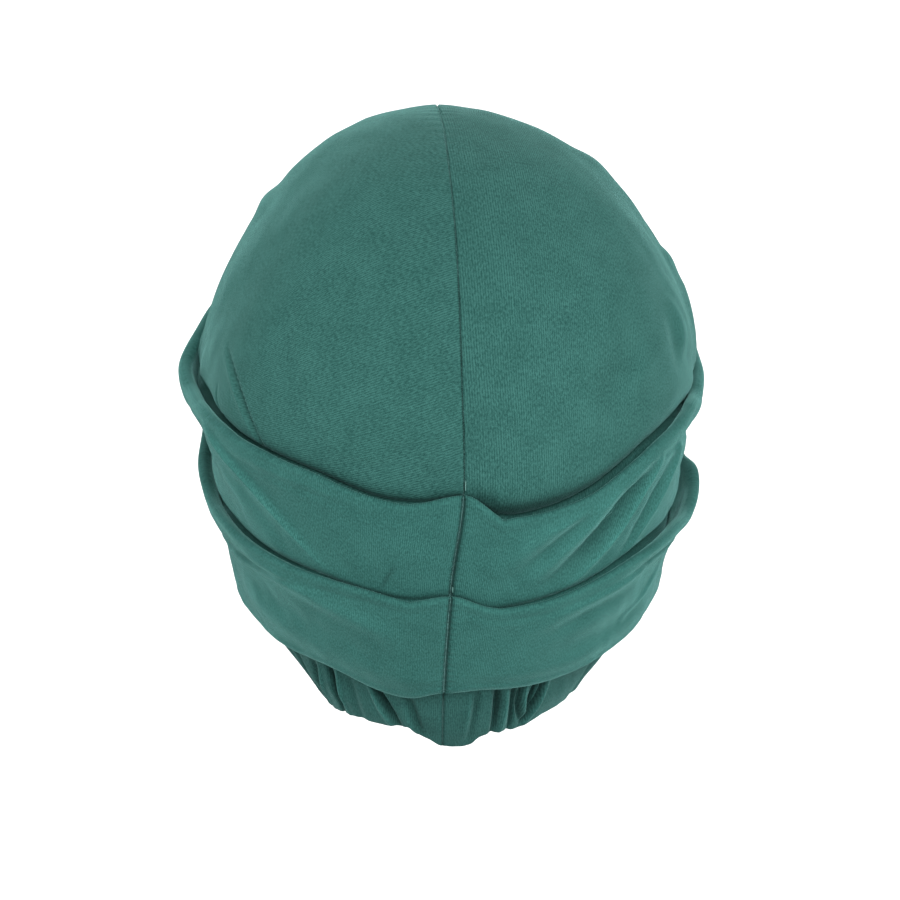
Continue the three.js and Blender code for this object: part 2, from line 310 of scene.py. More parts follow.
def close_wall(name, side, outer, inner, knit, painted_light_and_shade):
    """Mesh object from two grids of points, with columns from the back seam to the front and rows from the
    top down. The loop of outer rows down and inner rows up is carried along the columns, and both ends are
    closed. knit holds mm across and along the wales for each point of one grid. The last argument, taken from
    how sharply the cloth stands up or sinks, holds the painted highlight (above 0) and painted shade (below
    0) that the material puts into the colour."""
    columns, rows = outer.shape[:2]
    loop = np.concatenate([outer, inner[:, ::-1]], axis=1)
    number = np.arange(columns * 2 * rows).reshape(columns, 2 * rows)
    after = np.roll(number, -1, axis=1)
    skin = np.stack([number[:-1], number[1:], after[1:], after[:-1]], axis=-1).reshape(-1, 4)
    outside, inside = number[[0, -1], :rows], number[[0, -1], :rows - 1:-1]
    near, far = np.stack([outside[:, :-1], outside[:, 1:], inside[:, 1:], inside[:, :-1]], axis=-1)
    faces = np.concatenate([skin, near, far[:, ::-1]])
    if SIDES[side] < 0:
        faces = faces[:, ::-1]
    mesh = bpy.data.meshes.new(name)
    mesh.from_pydata(loop.reshape(-1, 3), [], faces.tolist())
    counts = np.concatenate([knit, knit[:, ::-1]], axis=1).reshape(-1, 2) / [WALE, COURSE]
    mesh.uv_layers.new(name="knit").data.foreach_set("uv", counts[faces.ravel()].astype(np.float32).ravel())
    mesh.polygons.foreach_set("use_smooth", np.arange(len(faces)) < len(skin))
    both = np.concatenate([painted_light_and_shade, painted_light_and_shade[:, ::-1]], axis=1)
    # Painted light: a highlight on crests and shade in creases, which the material puts into the colour.
    mesh.attributes.new("painted_light_and_shade", "FLOAT", "POINT").data.foreach_set("value", both.astype(np.float32).ravel())
    bm = bmesh.new()
    bm.from_mesh(mesh)
    bmesh.ops.remove_doubles(bm, verts=bm.verts, dist=WELD)
    area = sum(face.calc_area() for face in bm.faces) / 2
    bm.to_mesh(mesh)
    bm.free()
    piece = bpy.data.objects.new(name, mesh)
    bpy.context.collection.objects.link(piece)
    print(name, len(mesh.polygons), "faces,", round(area, 4), "square metres of cloth")
    return piece


def fan_azimuths(reach, columns):
    """Azimuths from 0 to reach, closest at the back seam and far apart round the front: reach times
    0.63u, plus 0.382 of a smooth step from u = 0.62, less 0.012 * (1 - exp(-u / 0.025))."""
    u = np.linspace(0, 1, columns)
    return reach * (0.63 * u + 0.382 * ease(u, 0.62, 1) - 0.012 * (1 - np.exp(-u / 0.025)))


def rolled_section(edge_rows, face_rows):
    """A wall's section from its top down: shares of the half thickness and of the flat that each row lies
    under the top, and how far the row swells, from 0 at the ends through a quarter circle to 1."""
    bend = np.linspace(0, np.pi / 2, edge_rows + 1)
    flat = np.linspace(0, 1, face_rows)[1:-1]
    edge = np.concatenate([1 - np.cos(bend), np.ones(len(flat)), 1 + np.sin(bend)])[None, :]
    face = np.concatenate([0 * bend, flat, 1 + 0 * bend])[None, :]
    swell = np.concatenate([np.sin(bend), np.ones(len(flat)), np.cos(bend)])[None, :]
    return edge, face, swell


cloth = {}
print("wales and courses in a centimetre:", round(10 / WALE), round(10 / COURSE))

# %% [markdown]
# ## The crown
#
# The crown is one ply in two halves that meet in a plain seam over the top. It could be a sphere with a
# sculpted crease, but as a fan from the apex it keeps the seam on a row of its own, where each half turns
# in. Behind the edge of the upper fold it sinks into a gutter, so that this edge stands out. First come
# the tables: the lines that show on each half, and the gutter.

# %% The crown's lines and gutter
# Narrow lines are creases and their ridges. The widest flatten or fill out the dome.
CROWN_LINES = {
    "left": [
        # mm across and along at the start, middle and end, width, rise, lean
        (80, 50, 69, 24.5, 57, -2, 0.95, -1.6, 0),
        (83, 50, 71.8, 26, 60, 0, 1.4, 0.7, 0),
        (86, 30, 86.5, 18, 81, 7, 0.9, -0.5, 0),
        (70, 125, 70, 153, 70, 180, 4, 1, 0),
        (62, 125, 62, 153, 62, 180, 4, -0.6, 0),
        (39, 135, 39, 160, 39, 185, 5, 0.3, 0),
        (24, 180, 72, 180, 125, 180, 18, -2.1, 0),
        (66, 152, 92, 150, 122, 148, 16, -1.3, 0),
    ],
    "right": [
        (83, 84, 90, 68, 92, 44, 4.5, 0.9, 0),
        (79, 70, 84, 56, 86, 35, 4.5, -0.6, 0),
        (64, 48, 53, 36, 41, 25, 5, -1, 0),
        (69, 44, 61, 32, 52, 21, 5, 0.7, 0),
        (4, 3, 5, -1, 6.5, -7, 1, 0.3, 0),
        (8.5, 1, 9.5, -4, 11, -10, 1.1, 0.3, 0),
        (53, 145, 53, 172, 53, 195, 7, 0.7, 0),
        (44, 145, 44, 168, 44, 190, 5, -0.5, 0),
        (92, 140, 92, 165, 92, 190, 5, 0.9, 0),
        (84, 140, 84, 165, 84, 190, 5, -0.7, 0),
        (7, 145, 7, 160, 7, 175, 4, -0.5, 0),
        (4, 180, 62, 180, 102, 180, 18, -2.3, 0),
        (82, 180, 108, 180, 134, 180, 18, 2, 0),
        (88, 105, 95, 80, 98, 50, 9, 1.4, 0),
    ],
}

# The gutter is deepest where the fold stands off the crown.
GUTTER = {
    "left": np.array([
        # azimuth, depth
        [0, 0.9],
        [10, 1.35],
        [45, 1.8],
        [58, 3.45],
        [72, 4.95],
        [86, 3.45],
        [100, 0],
        [180, 0],
    ]),
    "right": np.array([
        [0, 1.5],
        [4, 4],
        [10, 7],
        [30, 5.4],
        [55, 4.4],
        [78, 4.6],
        [100, 3],
        [120, 1],
        [145, 0],
        [180, 0],
    ]),
}
# Half width of the gutter in mm, and how many of them it lies under the edge.
GUTTER_SPREAD = {"left": 3.8, "right": 6.5}
GUTTER_DROP = 0.75
# A narrow crevice in the gutter draws the edge as a crisp line: its depth, drop under the edge and spread
# in mm, and the azimuths between which it ends.
CREVICE = {"left": 2.4, "right": 1.8}
CREVICE_DROP = {"left": 2.5, "right": 3.3}
CREVICE_SPREAD = 1.4
CREVICE_ENDS = (80, 105)
print("gutter, mm at the deepest:", {side: float(rows[:, 1].max()) for side, rows in GUTTER.items()})

# %% [markdown]
# ### Making the crown
#
# Each half is one grid of azimuth by angle from the apex. The lines lift or sink it, the unevenness and the
# gutter are added, and along the seam the ply turns in, with small puckers from the stitching. The rows lie
# closer at the apex and near the edge, where the form changes most.

# %% Making the crown
CROWN_TUCK = 16
CROWN_COLUMNS, CROWN_ROWS, ROW_CROWDING = 300, 130, 0.45
# Under the girth, a degree from the apex counts as this many mm of drop.
DEGREE_OF_DROP = 1.55
# Mean radii across and along the dome, for lengths on the spread cloth.
DOME_ACROSS, DOME_ALONG = 85, 95
# How far the knit of each half is turned from the seam.
KNIT_SLANT = {"left": np.radians(66), "right": np.radians(2)}
# Unevenness: rise, size of the waves in mm, seed. It and the lines fade within CALM mm of the seam.
CROWN_SLACK = [(0.5, 60, 3), (0.06, 14, 4)]
CALM = 12
# On the flanks the crown is drawn out with the flare of the fold: azimuths, and mm above the edge.
DRAWN_FROM, DRAWN_TO, DRAWN_SPREAD = 82, 100, 12
PUCKER, PUCKER_LENGTH, PUCKER_REACH = 0.1, 5.2, 4
# Extra thickness of the turned-in cloth beside the seam, and the groove of the seam.
ALLOWANCE, ALLOWANCE_REACH = 1.2, 4
CROWN_SEAM_WIDTH, CROWN_SEAM_DEPTH = 0.85, 1.2
# Share of the rows over which the lower edge is rounded.
ROUNDED_SHARE = 0.012


def crown_point(azimuth, turn, lift):
    """Radius and height on the crown: turn is the angle from the apex, up to 90 at the girth, and past that
    a plain drop. The ellipsoid is grown by lift mm."""
    polar = np.radians(np.minimum(turn, 90))
    height = (DOME_HEIGHT + lift) * np.cos(polar) - np.maximum(turn - 90, 0) * DEGREE_OF_DROP
    radius = (girth(azimuth) * taper(azimuth, height) + lift) * np.sin(polar)
    return radius, height


def crown_spread(azimuth, turn):
    """Mm across the dome from the seam, and along the seam from the girth at the back."""
    polar = np.radians(np.minimum(turn, 90))
    heading = np.radians(azimuth)
    across = DOME_ACROSS * np.arcsin(np.clip(np.sin(polar) * np.sin(heading), -1, 1))
    along = DOME_ALONG * np.arctan2(np.cos(polar), np.sin(polar) * np.cos(heading))
    return across, along - np.maximum(turn - 90, 0) * DEGREE_OF_DROP


def make_crown(side):
    """Half of the crown, from the apex to its tuck behind the upper fold. Its rows are crowded at both ends
    by row = step - crowding * sin(2 pi * step) / (2 pi)."""
    azimuth = fan_azimuths(180, CROWN_COLUMNS)[:, None]
    edge = lookup(azimuth, FOLDS[side], UPPER)
    end = edge - CROWN_TUCK
    last = np.degrees(np.arccos(np.clip(end / DOME_HEIGHT, 0, 1))) + np.maximum(-end, 0) / DEGREE_OF_DROP
    step = np.linspace(0, 1, CROWN_ROWS)[None, :]
    row = step - ROW_CROWDING * np.sin(2 * np.pi * step) / (2 * np.pi)
    turn = last * row
    radius, height = crown_point(azimuth, turn, 0)
    across, along = crown_spread(azimuth, turn)
    from_seam = radius * np.sin(np.radians(azimuth))
    lift = crease_relief(across, along, CROWN_LINES[side])
    for rise, size, seed in CROWN_SLACK:
        lift += rise * slack(SIDES[side] * across, along, size, seed)
    lift *= ease(from_seam, 0, CALM)
    flare = np.maximum(lookup(azimuth, FOLDS[side], UPPER_FLARE), 0)
    drawn = flare * ease(azimuth, DRAWN_FROM, DRAWN_TO)
    lift += drawn * np.exp(-((np.maximum(height - edge, 0) / DRAWN_SPREAD) ** 2))
    gutter = lookup(azimuth, GUTTER[side], 1)
    lift -= gutter * np.exp(-(((height - edge) / GUTTER_SPREAD[side] + GUTTER_DROP) ** 2))
    crevice = CREVICE[side] * (1 - ease(azimuth, *CREVICE_ENDS))
    lift -= crevice * np.exp(-(((height - edge + CREVICE_DROP[side]) / CREVICE_SPREAD) ** 2))
    lift += PUCKER * np.sin(2 * np.pi * along / PUCKER_LENGTH) * np.exp(-from_seam / PUCKER_REACH)
    closing = np.sqrt(np.clip((1 - row) / ROUNDED_SHARE, 0, 1))
    allowance = ALLOWANCE * np.exp(-((from_seam / ALLOWANCE_REACH) ** 2))
    inside = lift - (CROWN_WALL + allowance) * closing
    outside = lift - seam_dip(from_seam, along, CROWN_SEAM_WIDTH, CROWN_SEAM_DEPTH) * closing
    outer = place(side, azimuth, *crown_point(azimuth, turn, outside))
    inner = place(side, azimuth, *crown_point(azimuth, turn, inside))
    slant = KNIT_SLANT[side]
    knit = np.stack([across * np.cos(slant) + along * np.sin(slant),
                     along * np.cos(slant) - across * np.sin(slant)], axis=-1)
    # Painted highlight along the narrow ridges and painted shade in the narrow creases.
    painted_light_and_shade = painted_light_of(across, along, CROWN_LINES[side]) * ease(from_seam, 0, CALM)
    return close_wall("crown_" + side + "_cloth", side, outer, inner, knit, painted_light_and_shade)


for side in SIDES:
    cloth["crown_" + side] = make_crown(side)

# %% [markdown]
# ## The folds
#
# Each fold is a doubled strip whose folded edge lies upwards: a soft roll over the crown. A curve with a
# bevel could make the roll alone, but the roll and the flat of the fold are one cloth, so the whole section
# is one profile, a half circle at each edge with the flat between them, carried round the form. First come
# the tables for the edges: the rolls, the kinks where an edge is caught, the hollow along the lower fold, and
# how the bottom is drawn in over the nape.

# %% The edges of the folds
# The roll along each folded edge: how far under the edge its neck lies, and how much it puffs out, in mm.
ROLLS = {
    "upper_fold_left": np.array([
        # azimuth, neck, puff
        [0, 4.5, 0.1],
        [30, 7.2, 0.12],
        [60, 7.2, 0.15],
        [90, 9, 0.3],
        [180, 9, 0.2],
    ]),
    "upper_fold_right": np.array([
        [0, 4.5, 0.15],
        [30, 4.5, 0.15],
        [60, 6.5, 0.3],
        [90, 8, 0.3],
        [180, 9, 0.2],
    ]),
    "lower_fold_left": np.array([
        [0, 4, 0.15],
        [25, 4.5, 0.25],
        [37, 6.5, 0.5],
        [52, 8.5, 0.6],
        [65, 10, 0.6],
        [90, 10, 0.5],
        [120, 9, 0.2],
        [180, 9, 0.2],
    ]),
    "lower_fold_right": np.array([
        [0, 4, 0.15],
        [30, 4.8, 0.3],
        [45, 5.8, 0.6],
        [60, 6, 0.7],
        [90, 7, 0.6],
        [120, 8, 0.2],
        [180, 9, 0.2],
    ]),
}
# Where each folded edge is caught and bends sharply: azimuth, dip in mm, and degrees over which it fades.
KINKS = {
    "upper_fold_left": (10.3, 0.9, 3),
    "upper_fold_right": (7.8, 1.6, 1.8),
    "lower_fold_left": (7.6, 0.7, 1.5),
    "lower_fold_right": (10, 0.4, 3),
}
# How far the upper fold sinks along the edge of the lower one.
HOLLOW = {
    "left": np.array([
        # azimuth, depth
        [0, 0.9],
        [12, 1.3],
        [30, 1.8],
        [55, 2.4],
        [90, 2],
        [110, 0],
        [180, 0],
    ]),
    "right": np.array([
        [0, 0.9],
        [12, 1.3],
        [30, 2],
        [50, 3.2],
        [90, 3],
        [110, 0],
        [180, 0],
    ]),
}
# Half width of the hollow in mm, how much wider it gets between two azimuths, and its drop under the edge.
HOLLOW_SPREAD = 1.2
HOLLOW_WIDER, HOLLOW_WIDENS = 0.75, (30, 60)
HOLLOW_DROP = 1.7

# How far the bottom of the lower fold is drawn in over the nape.
CURL = {
    "left": np.array([
        # azimuth, depth, height over which it comes in
        [0, 0.8, 8],
        [12, 2.2, 11],
        [28, 3.4, 17],
        [48, 1.2, 16],
        [80, 0, 12],
        [180, 0, 12],
    ]),
    "right": np.array([
        [0, 0.8, 8],
        [12, 1.6, 8],
        [28, 2, 9],
        [48, 0.8, 10],
        [80, 0, 12],
        [180, 0, 12],
    ]),
}
# Mm under the bottom over which this fades on the nape.
CURL_FADES = (2, 14)


def tuck_in(side, azimuth, height, bottom):
    """How far cloth near the bottom of the lower fold goes in: the depth from the table, less and less to
    none with the height above that bottom, and to none within CURL_FADES under it."""
    depth, reach = lookup(azimuth, CURL[side], 1), lookup(azimuth, CURL[side], 2)
    return depth * (1 - ease((height - bottom) / reach, 0, 1)) * (1 - ease(bottom - height, *CURL_FADES))


print("bottom drawn in, mm at the most:", {side: float(rows[:, 1].max()) for side, rows in CURL.items()})

# %% [markdown]
# ### Drag lines on the folds
#
# Where the strip is pulled round the form it shows slanted ridges and valleys, from the flanks down to the
# seam. They are drawn as the crown's lines are, but across is now mm round the form from the seam, and along
# is the height over the girth.

# %% Drag lines on the folds
FOLD_LINES = {
    "upper_fold_left": [
        (95, 3, 67, -10, 36, -36, 3, 1.6, 0.5),
        (95, 3, 67, -10, 36, -36, 0.9, 1, 0),
        (80, 7, 60, -10, 38, -23, 5, -0.4, 0),
        (82, 0, 52, -2.6, 22, -8.5, 1.4, 0.5, 0),
        (90, -6, 128, -12, 166, -14, 7, -3.2, 0),
        (120, 2, 146, -1.5, 172, 0, 6, 0.8, 0),
        (97, -4, 78, -16, 52, -34, 5.5, 1.8, 0),
        (16.2, -28, 18.8, -34, 22, -41, 0.7, -0.6, 0),
    ],
    "upper_fold_right": [
        (70, -2, 34, -13.5, 11, -33, 4.5, 3.2, 0),
        (44, -10, 31.5, -21, 17, -35, 3, -1.3, 0),
        (53, -8, 38.5, -21, 21, -37, 3.4, 2.6, 0),
        (68, -3, 52, -19.5, 27, -39, 3, -3.6, 0),
        (72, -1, 60, -20, 35, -42, 1.6, 2.2, 0),
        (79, -4, 73, -21, 55, -39, 2.2, -1.2, 0),
        (84, 2, 80, -19, 57, -38, 2.4, 1.8, 0),
        (92, 5, 104, -6, 113, -24, 6, -2.4, 0),
        (108, 16, 116, -9, 124, -34, 12, -1.6, 0),
        (98, -10, 132, -16, 166, -18, 8, -3, 0),
        (108, -13, 148, -14.5, 188, -14.5, 3.5, -2.6, 0),
    ],
    "lower_fold_left": [
        (76, -37, 42, -44, 13, -56, 3.4, 1.9, 0),
        (84, -47, 49, -57, 16, -64, 7, -1.8, 0),
        (100, -54, 66, -60, 20, -72, 5, 1, 0),
        (110, -45, 140, -45, 170, -44, 6, -1.2, 0),
    ],
    "lower_fold_right": [
        (76, -43, 48, -46, 20, -56, 3.4, 1.4, 0),
        (72, -47.5, 50, -50, 30, -57, 3, -0.9, 0),
        (94, -52, 65, -57, 30, -58, 4, 0.5, 0),
        (90, -60, 60, -62, 30, -66, 6, -2.4, 0),
        (98, -47, 84, -54, 70, -63, 1.8, 0.8, 0),
        (110, -52, 142, -53, 174, -52, 6, -1.2, 0),
    ],
}
print("drag lines:", {name: len(lines) for name, lines in FOLD_LINES.items()})

# %% [markdown]
# ### Making the folds
#
# Both folds come from one function, because they differ only in their tables and in the layers under them.
# The inner face lies on the form, and the outer one is the wall's thickness further out. The hollow and the
# drawn-in bottom move both faces. Ridges stand on the outer face alone, and valleys sink the inner one a
# little less than the outer one, so that the wall stays thick enough under them.

# %% Making the folds
LAYER_GAP = 0.4
FOLD_WALL = 3
FOLD_COLUMNS, EDGE_ROWS, FACE_ROWS = 380, 9, 60
UPPER_TUCK = 14
FLARE_REACH = {"upper": 16, "lower": 12}
# The folds stand loose on the flanks, with a thicker roll: azimuths between which that starts and ends, extra
# half thickness everywhere and where it is loose, and mm below the edge over which it fades.
LOOSENS, TIGHTENS = (30, 75), (92, 120)
ROLL, LOOSE_ROLL, ROLL_REACH = 0.1, 0.8, 8
# A folded edge is never straight: rise and size of its waves, seed for each layer, azimuths where they start.
EDGE_WAVE, EDGE_WAVE_SIZE, EDGE_SEED, EDGE_CALM = 0.3, 26, {"upper": 5, "lower": 6}, (0, 8)
FOLD_SLACK = [(0.3, 30, 7), (0.07, 9, 8)]
# Mm over which lines and slack come in: from the seam, below the edge, and above the lower fold.
SEAM_FADE, EDGE_FADE, COVER_FADE = (0, 10), (1, 6), (-1, 3)
# The neck under the roll: its depth as a share of the puff, half width, a lip under it, mm from the seam.
NECK_SHARE, NECK_WIDTH, LIP_SHARE, LIP_DROP, NECK_FADE = 1.2, 1.2, 0.5, 2.2, (1, 8)
# A bead over the hem's stitches: rise, mm above the bottom, half width.
HEM_BEAD, HEM_HEIGHT, HEM_WIDTH = 0.4, 2, 1.2
FOLD_SEAM_WIDTH, FOLD_SEAM_DEPTH = {"left": 1.8, "right": 2.8}, 3
# Painted shade along the seam, where the folds turn in: its strength, and its half width in mm.
SEAM_SHADE, SEAM_SHADE_WIDTH = 1.8, 0.8
# Share of a valley that the inner face follows.
INNER_SHARE = 0.7
# The folds are stretched less than the crown, so their loops are finer by this factor.
UNSTRETCHED = 1.3


def make_fold(layer, side):
    """Half of one fold. Its inner face lies on the form and the layers under it, and its outer face stands
    off by the wall, swollen to a roll along the folded edge with a neck under it, and round at both edges."""
    name = layer + "_fold_" + side
    azimuth = fan_azimuths(180, FOLD_COLUMNS)[:, None]
    upper = layer == "upper"
    rows = FOLDS[side]
    top = lookup(azimuth, rows, UPPER if upper else LOWER)
    flare = lookup(azimuth, rows, UPPER_FLARE if upper else LOWER_FLARE)
    covered = lookup(azimuth, rows, LOWER)
    bottom = covered - UPPER_TUCK if upper else lookup(azimuth, rows, BOTTOM)
    loose = ease(azimuth, *LOOSENS) * (1 - ease(azimuth, *TIGHTENS))
    around = azimuth * ARC
    at, dip, spread = KINKS[name]
    top = top - dip * np.exp(-np.abs(azimuth - at) / spread)
    waves = slack(SIDES[side] * around, 0 * around, EDGE_WAVE_SIZE, EDGE_SEED[layer])
    top = top + EDGE_WAVE * waves * ease(azimuth, *EDGE_CALM)
    half = FOLD_WALL / 2 + ROLL + LOOSE_ROLL * loose
    edge, face, swell = rolled_section(EDGE_ROWS, FACE_ROWS)
    depth = half * edge + (top - bottom - 2 * half) * face
    height = top - depth
    around = around + 0 * depth
    layers = 0 if upper else 1
    inside = form(azimuth + 0 * depth, height) + layers * (LAYER_GAP + FOLD_WALL) + LAYER_GAP
    inside = inside + flare * (1 - ease(depth, 0, FLARE_REACH[layer]))
    if upper:
        sunk = lookup(azimuth, HOLLOW[side], 1)
        wide = HOLLOW_SPREAD * (1 + HOLLOW_WIDER * ease(azimuth, *HOLLOW_WIDENS))
        inside = inside - sunk * np.exp(-(((height - covered + HOLLOW_DROP) / wide) ** 2))
    else:
        inside = inside - tuck_in(side, azimuth, height, bottom)
        inside = inside + HEM_BEAD * np.exp(-(((height - bottom - HEM_HEIGHT) / HEM_WIDTH) ** 2))
    from_seam = inside * np.sin(np.radians(azimuth))
    fade = ease(from_seam, *SEAM_FADE) * ease(depth, *EDGE_FADE)
    relief = crease_relief(around, height, FOLD_LINES[name])
    for rise, size, seed in FOLD_SLACK:
        relief += rise * slack(SIDES[side] * around, height, size, seed)
    relief *= fade
    if upper:
        relief *= ease(height - covered, *COVER_FADE)
    neck = lookup(azimuth, ROLLS[name], 1)
    puff = lookup(azimuth, ROLLS[name], 2)
    lip = LIP_SHARE * np.exp(-(((depth - neck - LIP_DROP) / NECK_WIDTH) ** 2))
    groove = np.exp(-(((depth - neck) / NECK_WIDTH) ** 2)) - lip
    relief += puff * np.sin(np.pi * np.clip(depth / neck, 0, 1))
    relief -= NECK_SHARE * puff * groove * ease(from_seam, *NECK_FADE)
    relief -= seam_dip(from_seam, height, FOLD_SEAM_WIDTH[side], FOLD_SEAM_DEPTH)
    wall = FOLD_WALL + (2 * half - FOLD_WALL) * np.exp(-((depth / ROLL_REACH) ** 2))
    outer = place(side, azimuth, inside + wall / 2 * (1 + swell) + relief * swell, height)
    valley = INNER_SHARE * np.minimum(relief, 0)
    inner = place(side, azimuth, inside + wall / 2 * (1 - swell) + valley * swell, height)
    knit = np.stack([around, depth], axis=-1) * UNSTRETCHED
    # Painted highlight along the narrow ridges, painted shade in the narrow creases and in a band along the
    # seam.
    painted_light_and_shade = painted_light_of(around, height, FOLD_LINES[name]) * fade
    painted_light_and_shade = painted_light_and_shade - SEAM_SHADE * np.exp(-((from_seam / SEAM_SHADE_WIDTH) ** 2))
    return close_wall(name + "_cloth", side, outer, inner, knit, painted_light_and_shade)


for layer in ("upper", "lower"):
    for side in SIDES:
        cloth[layer + "_fold_" + side] = make_fold(layer, side)

# %% [markdown]
# ## The nape
#
# Under the lower fold a short strip is gathered on an elastic, so it stands in slanted pleats with narrow
# grooves between them. A pattern of even waves would be quicker, but gathers are uneven, so each groove and
# each pleat beside it has a line of its own in the tables, measured as on the folds.

# %% The nape's hem and pleats
NAPE_HEM = {
    "left": np.array([
        # azimuth, height
        [0, -101],
        [4, -98],
        [7, -96],
        [9, -93],
        [11, -93.8],
        [16, -93.8],
        [30, -94.6],
        [42, -97.3],
        [52, -97],
        [62, -92.5],
        [75, -79],
        [88, -61],
    ]),
    "right": np.array([
        [0, -101],
        [3, -101.6],
        [8, -101],
        [10.5, -98],
        [15, -97],
        [23, -97.5],
        [30, -95.2],
        [40, -94.8],
        [52, -95],
        [62, -91],
        [75, -79],
        [88, -61],
    ]),
}
NAPE_LINES = {
    "left": [
        (52, -73, 50, -83, 51, -97, 1.5, -2.6, 0),
        (46, -73, 46, -83, 44.5, -97, 1.2, 0.9, 0),
        (57, -74, 58, -84, 62, -97, 1.4, 0.8, 0),
        (61, -74, 62.5, -84, 67, -97, 2, -1.6, 0),
        (40, -74, 39, -84, 36, -97, 2.5, -1, 0),
        (31.5, -75, 26.5, -86, 19, -96, 1.2, 1.1, 0),
        (29.3, -75, 23.5, -85, 15.5, -96, 1.5, -2.8, 0),
        (18, -77, 14, -90, 11, -97, 1.6, 0.6, 0),
        (14.5, -77, 11, -88, 8.5, -97, 1.6, -1.1, 0),
        (76, -72, 74, -84, 72, -97, 2.6, -2, 0),
        (92, -70, 86, -82, 83, -95, 3.4, -1.9, 0),
    ],
    "right": [
        (12.5, -75, 12, -86, 10.5, -100, 1.5, -0.9, 0),
        (10, -78, 10, -88, 8.5, -99, 1.3, 0.7, 0),
        (19, -74, 21, -86, 20.5, -99, 1.4, -2.6, 0),
        (23.5, -74, 25, -88, 24, -99, 1.1, 0.9, 0),
        (26, -74, 28, -86, 28.5, -99, 1.3, -2.2, 0),
        (31.5, -74, 30.6, -86, 35, -95, 1.2, -2.2, 0),
        (33.5, -74, 33, -84, 36, -91, 0.9, 0.8, 0),
        (38, -74, 36.2, -85, 36.6, -90, 1.1, -2.4, 0),
        (40.5, -74, 39.4, -86, 33, -97, 1.2, -2.4, 0),
        (43, -74, 41.6, -86, 36, -97, 1.2, 1, 0),
        (77, -72, 75, -84, 74, -98, 4, -1.2, 0),
        (95, -70, 92, -82, 89, -95, 4, -1.5, 0),
    ],
}
print("pleats and grooves:", {side: len(lines) for side, lines in NAPE_LINES.items()})

# %% [markdown]
# ### Making the nape
#
# A single ply puffs out below the fold and sinks along the grooves. Its hem is pulled up a little where a
# groove reaches it, as an elastic does.

# %% Making the nape
NAPE_WALL = 1.5
NAPE_TUCK = 10
# Degrees from the seam to where the nape ends on the flank.
NAPE_REACH = 86
NAPE_COLUMNS, NAPE_EDGE_ROWS, NAPE_FACE_ROWS = 340, 5, 48
# How far the nape puffs out in mm, how strong its lines are, and the shares of its height where both come in.
NAPE_PUFF, NAPE_DEPTH, PUFF_COMES = 1.4, 1.45, (0.1, 0.5)
NAPE_SLACK = (0.15, 9, 9)
# Share of a groove's depth by which the hem is pulled up, and mm above the hem where that depth is taken.
HEM_PULL, HEM_PULL_HEIGHT = 0.25, 4
NAPE_SEAM_WIDTH, NAPE_SEAM_DEPTH = 1.1, 2.2


def make_nape(side):
    """Half of the gathered nape: a ply that stands off the form by its puff and the relief of its lines, and
    whose hem is raised by a share of each groove's depth."""
    azimuth = fan_azimuths(NAPE_REACH, NAPE_COLUMNS)[:, None]
    bottom = lookup(azimuth, FOLDS[side], BOTTOM)
    top = bottom + NAPE_TUCK
    hem = lookup(azimuth, NAPE_HEM[side], 1)
    pull = crease_relief(azimuth * ARC, hem + HEM_PULL_HEIGHT, NAPE_LINES[side])
    hem = hem - HEM_PULL * pull
    half = NAPE_WALL / 2
    edge, face, swell = rolled_section(NAPE_EDGE_ROWS, NAPE_FACE_ROWS)
    depth = half * edge + (top - hem - 2 * half) * face
    height = top - depth
    around = azimuth * ARC + 0 * depth
    down = depth / (top - hem)
    relief = NAPE_PUFF + NAPE_DEPTH * crease_relief(around, height, NAPE_LINES[side])
    rise, size, seed = NAPE_SLACK
    relief = relief * ease(down, *PUFF_COMES) + rise * slack(SIDES[side] * around, height, size, seed)
    middle = form(azimuth + 0 * depth, height) + LAYER_GAP + half + relief
    middle = middle - tuck_in(side, azimuth, height, bottom)
    from_seam = middle * np.sin(np.radians(azimuth))
    dip = seam_dip(from_seam, height, NAPE_SEAM_WIDTH, NAPE_SEAM_DEPTH)
    outer = place(side, azimuth, middle + (half - dip) * swell, height)
    inner = place(side, azimuth, middle - (half + dip) * swell, height)
    knit = np.stack([around, depth], axis=-1)
    # Painted highlight on the pleats and painted shade in the grooves.
    painted_light_and_shade = painted_light_of(around, height, NAPE_LINES[side])
    return close_wall("nape_gather_" + side + "_cloth", side, outer, inner, knit, painted_light_and_shade)


for side in SIDES:
    cloth["nape_gather_" + side] = make_nape(side)

# %% [markdown]
# ## Thread ends
#
# Where the seams of the layers meet, two short stitches of pale thread show. A curve with a bevel would do,
# but as a profile carried along a path, like the cloth, each is one small closed tube with pointed ends.

# %% Thread ends
THREAD = 0.16
TACK_RINGS, TACK_SIDES = 13, 12
TACKS = {
    # azimuth, height and stand off the form at the top and at the bottom
    "seam_tack_upper": (0.3, 0.6, 0.5, 0.3, -3.2, 0.9),
    "seam_tack_lower": (0.2, -34.9, 3.9, 0.3, -37.2, 4.2),
}


